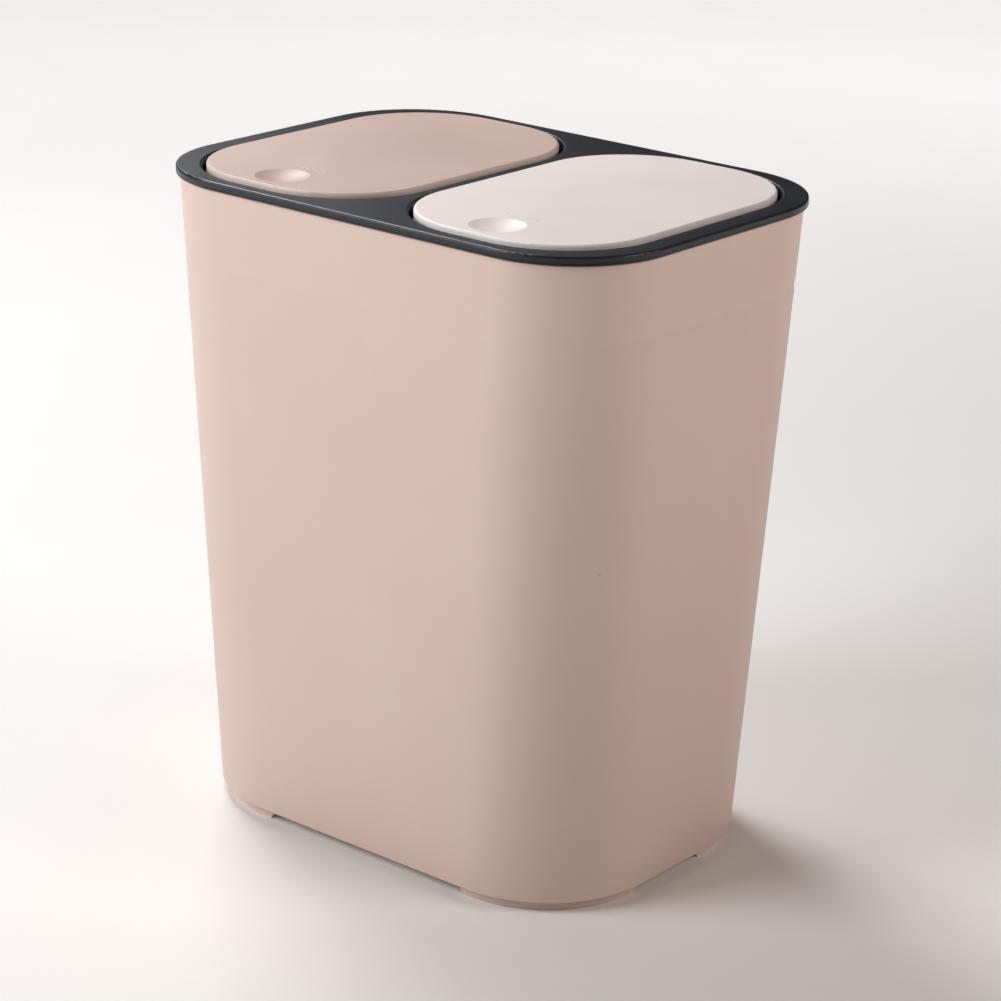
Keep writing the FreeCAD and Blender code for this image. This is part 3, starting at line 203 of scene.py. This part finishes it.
# Polypropylene and acetal lie close to the shader's own IOR of 1.5, which they keep
pinkLook = {  # polypropylene from a spark-eroded mould: even matt, wide soft sheen, faint upright streaks
    "name": "pinkPolypropyleneSparkMoulded",
    "pale": "#dec7bc", "deep": "#d8bfb4", "paleMarkAndHighlight": "#ead8cf", "speck": "#8d7469",
    "cloud": 90 * mm, "flow": (33 * mm, 33 * mm, 167 * mm), "streakShare": 0.08,
    "wearAndHighlightShare": 0.3, "paintedEdgeHighlightShare": 0.0, "pitSpacing": 46 * mm, "speckShare": 0.5,
    "grain": 0.9 * mm,  # the real grain is about 0.3 mm, too fine to show at this distance
    "grainHeight": 0.05 * mm, "grainShare": 0.25, "roughness": (0.46, 0.56), "specular": 0.32,
}
frameLook = dict(pinkLook, **{  # carbon-black polypropylene, satin mould: cool black, narrow shine on edges, partly a painted highlight on its paler rubbed edges
    "name": "blackPolypropyleneSatinMoulded",
    # paler edge colour: rubbing, and a painted highlight along the flange bevel
    "pale": "#20252f", "deep": "#1b2028", "paleMarkAndHighlight": "#34373d", "speck": "#8d8a88",
    "speckShare": 0.4, "roughness": (0.34, 0.42), "specular": 0.36, "grainHeight": 0.03 * mm,
})
lidPinkLook = dict(pinkLook, **{  # same plastic from a smoother mould: more sheen, streaks from front to back
    "name": "pinkPolypropyleneLidMoulded",
    "pale": "#cfb7ae", "deep": "#c9b0a7", "paleMarkAndHighlight": "#f0e2db",
    "paintedEdgeHighlightShare": 0.75,  # steep faces painted paler: a painted highlight along the lid edges
    "flow": (33 * mm, 125 * mm, 33 * mm), "roughness": (0.42, 0.5), "grainHeight": 0.03 * mm,
})
lidPaleLook = dict(lidPinkLook, **{  # pale tint of the same plastic: nearly white, warm in the shade
    "name": "paleRosePolypropyleneLidMoulded",
    "pale": "#f4ebe8", "deep": "#eee4e1", "paleMarkAndHighlight": "#fbf8f5", "speck": "#9a8c86",
})
innerLook = dict(pinkLook, **{  # recycled polypropylene from a polished mould: cloudy grey, soft shine
    "name": "greyPolypropyleneInnerMoulded",
    "pale": "#77777a", "deep": "#68686c", "paleMarkAndHighlight": "#8f8f92", "speck": "#3c3c3f",
    "roughness": (0.34, 0.44), "specular": 0.5,
})
latchDarkLook = dict(frameLook, **{  # black acetal from a polished mould: smooth, small clear highlights
    "name": "blackAcetalMoulded", "pale": "#303033", "deep": "#28282b", "roughness": (0.3, 0.38),
    "cloud": 12 * mm, "pitSpacing": 18 * mm,
})
latchPaleLook = dict(lidPaleLook, **{  # natural acetal from a polished mould: milky white, smooth
    "name": "naturalAcetalMoulded", "pale": "#ece9e2", "deep": "#e0dcd3", "roughness": (0.3, 0.38),
    "cloud": 12 * mm, "pitSpacing": 18 * mm,
})
steelLook = {  # cold-drawn steel: draw lines along the pin stretch its highlights
    "name": "drawnPinSteel", "pale": "#c9c8c5", "deep": "#a9a8a6", "cloud": 3 * mm,
    "flow": (3.3 * mm, 0.17 * mm, 0.17 * mm),  # real draw lines are about 0.03 mm, too fine to show
    "roughness": (0.22, 0.34), "grainHeight": 0.01 * mm, "grainShare": 0.3,
}
springLook = dict(steelLook, **{  # oil-tempered wire: darker, brownish grey
    "name": "oilTemperedSpringSteel", "pale": "#9a9895", "deep": "#7f7d7b",
})
screwLook = dict(steelLook, **{  # zinc-plated steel: paler, a little yellow
    "name": "zincPlatedScrewSteel", "pale": "#cfcfcb", "deep": "#b3b3ad",
})
bailLook = dict(steelLook, **{  # galvanised wire: cool grey in soft clouds, no draw lines left
    "name": "galvanisedBailWire", "pale": "#c6c7c7", "deep": "#a2a4a5", "cloud": 14 * mm,
    "flow": (1.1 * mm, 1.1 * mm, 1.1 * mm), "roughness": (0.26, 0.4),
})
materials = {
    "bucket": mouldedPlastic(pinkLook),
    "frame": mouldedPlastic(frameLook),
    "leftLid": mouldedPlastic(lidPinkLook, "left"),
    "rightLid": mouldedPlastic(lidPaleLook, "right"),
    "inner": mouldedPlastic(innerLook),
    "latchDark": mouldedPlastic(latchDarkLook),
    "latchPale": mouldedPlastic(latchPaleLook),
    "pin": drawnSteel(steelLook),
    "spring": drawnSteel(springLook),
    "screw": drawnSteel(screwLook),
    "bail": drawnSteel(bailLook),
}
print("materials", len(materials))


# Mesh helpers
def addObject(name, data):
    thing = bpy.data.objects.new(name, data)
    scene.collection.objects.link(thing)
    return thing


def addPiece(name, data, material, node):
    data.materials.clear()
    data.materials.append(material)
    piece = addObject(name, data)
    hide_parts(node)
    return piece


def finishMesh(name, mesh, sharpDegrees):
    for face in mesh.faces:
        face.smooth = True
    data = bpy.data.meshes.new(name)
    mesh.to_mesh(data)
    mesh.free()
    data.set_sharp_from_angle(angle=math.radians(sharpDegrees))
    return data


def applied(holder):
    graph = bpy.context.evaluated_depsgraph_get()
    finished = holder.evaluated_get(graph)
    data = bpy.data.meshes.new_from_object(finished, preserve_all_data_layers=True, depsgraph=graph)
    bpy.data.objects.remove(holder)
    return data


def ringPoints(width, depth, corner, arcSteps, runSteps):
    arcs = []
    for quarter, (signX, signY) in enumerate(((1, 1), (-1, 1), (-1, -1), (1, -1))):
        centre = Vector((signX * (width / 2 - corner), signY * (depth / 2 - corner)))
        angles = [(quarter + step / arcSteps) * math.pi / 2 for step in range(arcSteps + 1)]
        arcs.append([centre + corner * Vector((math.cos(angle), math.sin(angle))) for angle in angles])
    points = []
    for arc, following in zip(arcs, arcs[1:] + arcs[:1]):
        points += arc
        points += [arc[-1].lerp(following[0], step / runSteps) for step in range(1, runSteps)]
    return points


def addLoop(mesh, points, level):
    return [mesh.verts.new((point.x, point.y, level)) for point in points]


def bridge(mesh, first, second, closed=True):
    count = len(first) if closed else len(first) - 1
    for index in range(count):
        after = (index + 1) % len(first)
        mesh.faces.new((first[index], first[after], second[after], second[index]))


# Outer bucket: tapered shell with a rounded rim, a faint sink line over the ledge and four feet
bucketLow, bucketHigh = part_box("outer_bucket")
bucketShape = {
    "footHeight": 6 * mm, "baseWidth": 270.6 * mm, "baseDepth": 187.6 * mm, "baseCorner": 64.5 * mm,
    "rimCorner": 56.5 * mm, "wallUpper": 2 * mm, "wallLower": 3.4 * mm, "floor": 3 * mm,
    "ledgeDrop": 40 * mm, "rimRound": 0.6 * mm, "baseRound": 1.2 * mm,
    "sinkDepth": 0.4 * mm, "sinkReach": 4 * mm, "sinkSteps": 3,
    "upperSteps": (1, 3, 6, 9),  # loops above the ledge, in sink reaches
    "footInset": 5 * mm, "footBand": 6.5 * mm, "footFront": 72 * mm, "footSide": 70 * mm,
    "footSlope": 4 * mm, "footEdge": 0.5 * mm,
    "arcSteps": 24, "runSteps": 12, "wallSteps": 24, "roundSteps": 5, "sharpDegrees": 40,
}


def bucketLoop(level, inset):
    shape = bucketShape
    share = (level - shape["footHeight"]) / (bucketHigh.z - shape["footHeight"])
    width = shape["baseWidth"] + (bucketHigh.x - bucketLow.x - shape["baseWidth"]) * share - 2 * inset
    depth = shape["baseDepth"] + (bucketHigh.y - bucketLow.y - shape["baseDepth"]) * share - 2 * inset
    corner = shape["baseCorner"] + (shape["rimCorner"] - shape["baseCorner"]) * share - inset
    return ringPoints(width, depth, corner, shape["arcSteps"], shape["runSteps"])


def bucketProfile():  # level and inset of every loop, up the outside and down the inside
    shape = bucketShape
    base, rim = shape["footHeight"], bucketHigh.z
    ledge = rim - shape["ledgeDrop"]
    turns = [step / shape["roundSteps"] * math.pi / 2 for step in range(shape["roundSteps"] + 1)]
    soft, reach = shape["baseRound"], shape["sinkReach"]
    profile = [(base + soft * (1 - math.cos(turn)), soft * (1 - math.sin(turn))) for turn in turns]
    low, high = base + soft, ledge - reach
    steps = shape["wallSteps"]
    profile += [(low + (high - low) * step / steps, 0.0) for step in range(1, steps + 1)]
    steps = shape["sinkSteps"]
    for step in range(1 - steps, steps):
        dip = math.cos(step * math.pi / (2 * steps)) ** 2
        profile.append((ledge + step * reach / steps, shape["sinkDepth"] * dip))
    profile += [(ledge + reach * times, 0.0) for times in shape["upperSteps"]]
    soft, wall = shape["rimRound"], shape["wallUpper"]
    profile += [(rim - soft * (1 - math.sin(turn)), soft * (1 - math.cos(turn))) for turn in turns]
    profile += [(rim - soft * (1 - math.cos(turn)), wall - soft * (1 - math.sin(turn))) for turn in turns]
    profile += [(ledge, wall), (ledge, shape["wallLower"]), (base + shape["floor"], shape["wallLower"])]
    return profile


def footPath(inset, endX, endY):
    shape = bucketShape
    width, depth = shape["baseWidth"] - 2 * inset, shape["baseDepth"] - 2 * inset
    corner = shape["baseCorner"] - inset
    centre = Vector((width / 2 - corner, depth / 2 - corner))
    angles = [math.pi / 2 * (1 - step / shape["arcSteps"]) for step in range(shape["arcSteps"] + 1)]
    arc = [centre + corner * Vector((math.cos(angle), math.sin(angle))) for angle in angles]
    return [Vector((endX, depth / 2))] + arc + [Vector((width / 2, endY))]


def addFoot(mesh, signX, signY):
    shape = bucketShape
    endX = shape["baseWidth"] / 2 - shape["footFront"]
    endY = shape["baseDepth"] / 2 - shape["footSide"]
    outer, inner, edge = shape["footInset"], shape["footInset"] + shape["footBand"], shape["footEdge"]
    top = shape["footHeight"] + edge  # runs a little into the floor
    levels = (top, edge, 0.0, 0.0, edge, top)
    insets = (outer, outer, outer + edge, inner - edge, inner, inner)
    loops = []
    for level, inset in zip(levels, insets):
        slope = shape["footSlope"] * (1 - level / shape["footHeight"])
        path = footPath(inset, endX + slope, endY + slope)
        loops.append(addLoop(mesh, [Vector((signX * point.x, signY * point.y)) for point in path], level))
    for first, second in zip(loops, loops[1:] + loops[:1]):
        bridge(mesh, first, second, closed=False)
    mesh.faces.new([loop[0] for loop in loops])
    mesh.faces.new([loop[-1] for loop in loops])


bucketMesh = bmesh.new()
bucketLoops = [addLoop(bucketMesh, bucketLoop(level, inset), level) for level, inset in bucketProfile()]
for lower, upper in zip(bucketLoops, bucketLoops[1:]):
    bridge(bucketMesh, lower, upper)
bucketMesh.faces.new(bucketLoops[0])
bucketMesh.faces.new(bucketLoops[-1])
for signX in (-1, 1):
    for signY in (-1, 1):
        addFoot(bucketMesh, signX, signY)
bmesh.ops.recalc_face_normals(bucketMesh, faces=bucketMesh.faces)
bucketData = finishMesh("outerBucketShell", bucketMesh, bucketShape["sharpDegrees"])
bucketPiece = addPiece(
    "outer_bucket_shell", bucketData, materials["bucket"], "outer_bucket")
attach(bucketPiece, "bucket")
print("bucket", len(bucketData.polygons))


# Geometry node trees: what all of them share
def newTree(name, inputs):
    tree = bpy.data.node_groups.new(name, "GeometryNodeTree")
    tree.interface.new_socket("Geometry", in_out="INPUT", socket_type="NodeSocketGeometry")
    for label, kind in inputs.items():
        tree.interface.new_socket(label, in_out="INPUT", socket_type="NodeSocket" + kind)
    tree.interface.new_socket("Geometry", in_out="OUTPUT", socket_type="NodeSocketGeometry")
    return tree


def closeTree(tree, given, geometry):
    real = addNode(tree, "GeometryNodeRealizeInstances", {"Geometry": geometry})
    painted = addNode(tree, "GeometryNodeSetMaterial", {
        "Geometry": real.outputs["Geometry"], "Material": given["Material"]})
    addNode(tree, "NodeGroupOutput", {"Geometry": painted.outputs["Geometry"]})


def grown(holder, tree, values):
    modifier = holder.modifiers.new(tree.name, "NODES")
    modifier.node_group = tree
    inputs = {item.name: item.identifier for item in tree.interface.items_tree if item.in_out == "INPUT"}
    for label, value in values.items():
        modifier[inputs[label]] = value
    return applied(holder)


# Lids: a row of shallow bars is pressed in behind each dimple
def tickTree():
    tree = newTree("tickRow", {
        "Count": "Int", "Start": "Vector", "Step": "Vector", "Size": "Vector", "Material": "Material"})
    given = addNode(tree, "NodeGroupInput").outputs
    row = addNode(tree, "GeometryNodeMeshLine", {
        "Count": given["Count"], "Start Location": given["Start"], "Offset": given["Step"]}, mode="OFFSET")
    bar = addNode(tree, "GeometryNodeMeshCube", {"Size": given["Size"]})
    bars = addNode(tree, "GeometryNodeInstanceOnPoints", {
        "Points": row.outputs["Mesh"], "Instance": bar.outputs["Mesh"]})
    closeTree(tree, given, bars.outputs["Instances"])
    return tree


def lidCutter(side, tree):
    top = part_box(side + "_lid")[1].z
    holder = addObject(side + "_ticks", bpy.data.meshes.new(side + "_ticks"))
    data = grown(holder, tree, {
        "Count": tickRow["count"], "Start": (tickStart[side], tickRow["along"], top),
        "Step": (tickRow["pitch"], 0.0, 0.0), "Material": materials[side + "Lid"],
        "Size": (tickRow["width"], tickRow["length"], 2 * tickRow["depth"])})
    return addObject(side + "_cutter", data)


# Moulded and turned pieces: merged copies of the solids with even normals
solidFinish = {"mergeDistance": mm / 500, "sharpDegrees": 35}
sideParts = {  # material, slot and body of each side's pieces, which ride the frame where no body is given
    "strike": ("latchPale", "latch_pale_plastic", "lid"),
    "hinge_pin": ("pin", "pin_steel", None),
    "latch_housing": ("latchDark", "latch_dark_plastic", None),
    "latch_screws": ("screw", "screw_steel", None),
    "latch_plunger": ("latchPale", "latch_pale_plastic", "plunger"),
    "inner_bucket": ("inner", "inner_plastic", "inner"),
    "bail": ("bail", "bail_steel", "bail"),
}


def smoothCopy(node, material, body, cutter=None):
    mesh = bmesh.new()
    mesh.from_mesh(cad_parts[node].data)
    bmesh.ops.remove_doubles(mesh, verts=mesh.verts, dist=solidFinish["mergeDistance"])
    holder = addObject(node + "_holder", finishMesh(node + "_smooth", mesh, solidFinish["sharpDegrees"]))
    if cutter:
        pressed = holder.modifiers.new("pressed", "BOOLEAN")
        pressed.operation = "DIFFERENCE"
        pressed.solver = "EXACT"
        pressed.object = cutter
    weighted = holder.modifiers.new("evenNormals", "WEIGHTED_NORMAL")
    weighted.keep_sharp = True
    piece = addPiece(node + "_finish", applied(holder), material, node)
    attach(piece, body)


rowTree = tickTree()
smoothCopy("lid_frame", materials["frame"], "frame")
for side in sides:
    cutter = lidCutter(side, rowTree)
    smoothCopy(side + "_lid", materials[side + "Lid"], side + "_lid", cutter)
    bpy.data.objects.remove(cutter)
    for part, (material, slot, body) in sideParts.items():
        smoothCopy(side + "_" + part, materials[material], side + "_" + body if body else "frame")
print("solids", 1 + len(sides) * (1 + len(sideParts)))


# Springs: wire swept along a coil by geometry nodes
lidSpring = {
    "wire": 0.7 * mm, "coil": 3.2 * mm, "pitch": 1.2 * mm, "turns": 6.5, "leg": 12 * mm,
    "perTurn": 24, "sides": 12,
}
latchSpring = {"wire": 0.6 * mm, "turns": 6, "perTurn": 32, "sides": 12}


def wireTree():
    tree = newTree("sweptWire", {"Wire Radius": "Float", "Sides": "Int", "Material": "Material"})
    given = addNode(tree, "NodeGroupInput").outputs
    ring = addNode(tree, "GeometryNodeCurvePrimitiveCircle", {
        "Resolution": given["Sides"], "Radius": given["Wire Radius"]})
    swept = addNode(tree, "GeometryNodeCurveToMesh", {
        "Curve": given["Geometry"], "Profile Curve": ring.outputs["Curve"], "Fill Caps": True})
    smooth = addNode(tree, "GeometryNodeSetShadeSmooth", {"Geometry": swept.outputs["Mesh"]})
    closeTree(tree, given, smooth.outputs["Geometry"])
    return tree


def sweptWire(node, points, spring, tree):
    curve = bpy.data.curves.new(node + "_path", "CURVE")
    curve.dimensions = "3D"
    spline = curve.splines.new("POLY")
    spline.points.add(len(points) - 1)
    for target, point in zip(spline.points, points):
        target.co = (*point, 1.0)
    data = grown(addObject(node + "_path", curve), tree, {
        "Wire Radius": spring["wire"] / 2, "Sides": spring["sides"], "Material": materials["spring"]})
    return addPiece(node + "_wire", data, materials["spring"], node)


def lidSpringPath(middle):
    half = lidSpring["pitch"] * lidSpring["turns"] / 2
    radius = lidSpring["coil"] / 2
    count = round(lidSpring["turns"] * lidSpring["perTurn"])
    coil = []
    for step in range(count + 1):
        angle = 2 * math.pi * step / lidSpring["perTurn"]
        across = -half + lidSpring["pitch"] * step / lidSpring["perTurn"]
        coil.append(middle + Vector((across, radius * math.sin(angle), radius * math.cos(angle))))
    reach = Vector((0, -lidSpring["leg"], 0))
    return [coil[0] + reach] + coil + [coil[-1] + reach]


def latchSpringPath(low, high):
    wire = latchSpring["wire"]
    middle = (low + high) / 2
    radius = (high.x - low.x - wire) / 2
    count = latchSpring["turns"] * latchSpring["perTurn"]
    points = []
    for step in range(count + 1):
        angle = 2 * math.pi * step / latchSpring["perTurn"]
        across, along = middle.x + radius * math.cos(angle), middle.y + radius * math.sin(angle)
        points.append(Vector((across, along, low.z + wire / 2 + (high.z - low.z - wire) * step / count)))
    return points


springTree = wireTree()
for side in sides:
    middle = boxMiddle(side + "_hinge_pin")
    piece = sweptWire(side + "_lid_spring", lidSpringPath(middle), lidSpring, springTree)
    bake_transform(piece)
    low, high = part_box(side + "_latch_spring")
    piece = sweptWire(side + "_latch_spring", latchSpringPath(low, high), latchSpring, springTree)
    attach(piece, "frame")
    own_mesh(piece)
print("springs", 2 * len(sides))


# Stage, light and camera
stage = {  # white paper laid flat: matt, and lit from under further out, so that it stays pale
    "reach": 8.0, "pale": "#f6f5f4", "deep": "#f2f1f0", "fibre": 125 * mm, "roughness": 0.9,
    "glowReach": (0.5, 2.2), "glow": 0.85, "sharpDegrees": 60,
}
middle = (cadBox[0] + cadBox[1]) / 2
lidTop = Vector((middle.x, middle.y, cadBox[1].z))
lights = {
    "keySoftbox": {
        "towards": (-0.45, -0.75, 0.5), "distance": 1.7, "size": 1.0, "power": 18.2, "colour": "#ffffff",
        "aim": middle},
    "rightSoftbox": {
        "towards": (0.9, 0.3, 0.5), "distance": 1.8, "size": 0.9, "power": 9.9, "colour": "#fff1e8",
        "aim": middle},
    "topSoftbox": {
        "towards": (-0.75, 0.3, 0.75), "distance": 1.4, "size": 0.7, "power": 16.2, "colour": "#ffffff",
        "aim": lidTop},
}
air = {  # a weak warm fill, and a pale grey past the floor's end
    "fill": "#faeae0", "fillStrength": 0.06, "beyond": "#f2f0ee", "beyondStrength": 0.75,
}
camera = {
    "place": (0.99018, -1.20586, 0.72204), "azimuth": 39.02, "elevation": 19.35, "roll": 1.55, "lens": 113.32,
}


def addStage():
    mesh = bmesh.new()
    bmesh.ops.create_grid(mesh, x_segments=1, y_segments=1, size=stage["reach"])
    floor = addObject("studio_floor", finishMesh("studioFloor", mesh, stage["sharpDegrees"]))
    paper = newMaterial("whitePaperRolled")
    tree = paper.node_tree
    place = addNode(tree, "ShaderNodeTexCoord").outputs["Object"]
    fibre = addNode(tree, "ShaderNodeTexNoise", {
        "Vector": place, "Scale": 1 / stage["fibre"], "Detail": 2.0}).outputs["Fac"]
    colour = addNode(tree, "ShaderNodeMix", {
        0: fibre, 6: linear(stage["deep"]), 7: linear(stage["pale"])}, data_type="RGBA").outputs[2]
    away = addNode(tree, "ShaderNodeVectorMath", [place], operation="LENGTH").outputs["Value"]
    glow = addNode(tree, "ShaderNodeMapRange", [
        away, *stage["glowReach"], 0.0, stage["glow"]], interpolation_type="SMOOTHSTEP").outputs[0]
    shader = addNode(tree, "ShaderNodeBsdfPrincipled", {
        "Base Color": colour, "Roughness": stage["roughness"], "Emission Color": colour,
        "Emission Strength": glow})
    addNode(tree, "ShaderNodeOutputMaterial", {"Surface": shader.outputs[0]})
    floor.data.materials.append(paper)


def addLight(name, setting):
    light = bpy.data.lights.new(name, "AREA")
    light.shape = "DISK"
    light.size = setting["size"]
    light.energy = setting["power"]
    light.color = linear(setting["colour"])[:3]
    towards = Vector(setting["towards"]).normalized()
    lamp = addObject(name, light)
    lamp.location = setting["aim"] + towards * setting["distance"]
    lamp.rotation_euler = (-towards).to_track_quat("-Z", "Y").to_euler()


def addCamera():
    data = bpy.data.cameras.new("photoCamera")
    data.lens = camera["lens"]
    eye = addObject("photoCamera", data)
    place = Matrix.Translation(camera["place"])
    for axis, degrees in (("Z", camera["azimuth"]), ("X", 90 - camera["elevation"]), ("Z", camera["roll"])):
        place = place @ Matrix.Rotation(math.radians(degrees), 4, axis)
    eye.matrix_world = place
    scene.camera = eye


def addAir():
    world = bpy.data.worlds.new("studioAir")
    world.use_nodes = True
    tree = world.node_tree
    tree.nodes.clear()
    seen = addNode(tree, "ShaderNodeLightPath").outputs["Is Camera Ray"]
    fill, beyond = (
        addNode(tree, "ShaderNodeBackground", [linear(air[name]), air[name + "Strength"]]).outputs[0]
        for name in ("fill", "beyond"))
    sky = addNode(tree, "ShaderNodeMixShader", [seen, fill, beyond])
    addNode(tree, "ShaderNodeOutputWorld", {"Surface": sky.outputs[0]})
    scene.world = world


addStage()
addCamera()
for name, setting in lights.items():
    addLight(name, setting)
addAir()
scene.view_settings.view_transform = "Standard"
print("stage", len(lights), "lights")
